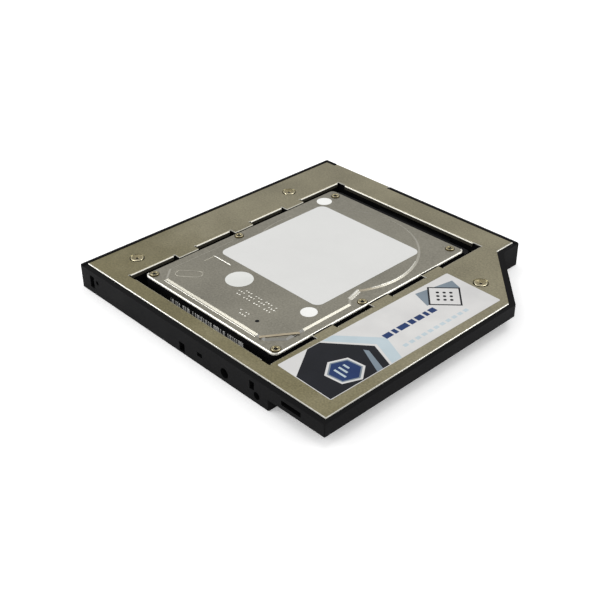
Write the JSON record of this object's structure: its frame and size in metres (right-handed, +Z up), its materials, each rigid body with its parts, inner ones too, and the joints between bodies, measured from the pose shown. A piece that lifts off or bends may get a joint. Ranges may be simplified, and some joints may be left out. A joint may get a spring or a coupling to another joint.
{
  "type": "drive bay adapter",
  "caption": "Slim optical-bay adapter: moulded frame with a steel cover whose window holds a small hard disk, plugged into a socket at the rear; the disk slides forward off it.",
  "frame": {"origin": "middle of the footprint at the underside", "axes": "+Z up out of the steel cover, +Y towards the rear with the plug, -Y towards the front wall, +X towards the thin shelf side"},
  "size_m": [0.128, 0.128, 0.0095],
  "materials": {
    "frame_plastic": "matte black moulding",
    "cover_steel": "nickel-plated sheet, satin",
    "plate_steel": "nickel-plated sheet, satin",
    "screw_steel": "zinc-plated",
    "board_green": "solder mask",
    "connector_black": "moulded connector",
    "contact_gold": "gold flash",
    "chip_ceramic": "ceramic chip",
    "sticker": "printed film",
    "disk_black": "black-coated casting",
    "disk_steel": "stamped stainless, satin",
    "gasket_rubber": "matte",
    "paper_white": "matte label",
    "motor_metal": "turned"
  },
  "bodies": {
    "adapter": {"frame": "frame_plastic", "top_cover": "cover_steel", "cover_screws": "screw_steel", "bottom_plate": "plate_steel", "adapter_board": "board_green", "board_screw": "screw_steel", "board_capacitors": "chip_ceramic", "drive_socket": "connector_black", "socket_contacts": "contact_gold", "host_plug": "connector_black", "host_contacts": "contact_gold", "cover_label": "sticker"},
    "drive": {"drive_base": "disk_black", "cover_gasket": "gasket_rubber", "drive_cover": "disk_steel", "drive_label": "paper_white", "seal_large": "paper_white", "seal_right": "paper_white", "seal_rear": "paper_white", "end_label": "paper_white", "drive_board": "board_green", "spindle_motor": "motor_metal", "drive_plug": "connector_black", "plug_contacts": "contact_gold"}
  },
  "joints": [
    {"name": "drive_slide", "type": "slide", "parent": "adapter", "child": "drive", "axis": [0, -1, 0], "range_m": [0, 0.004]}
  ]
}
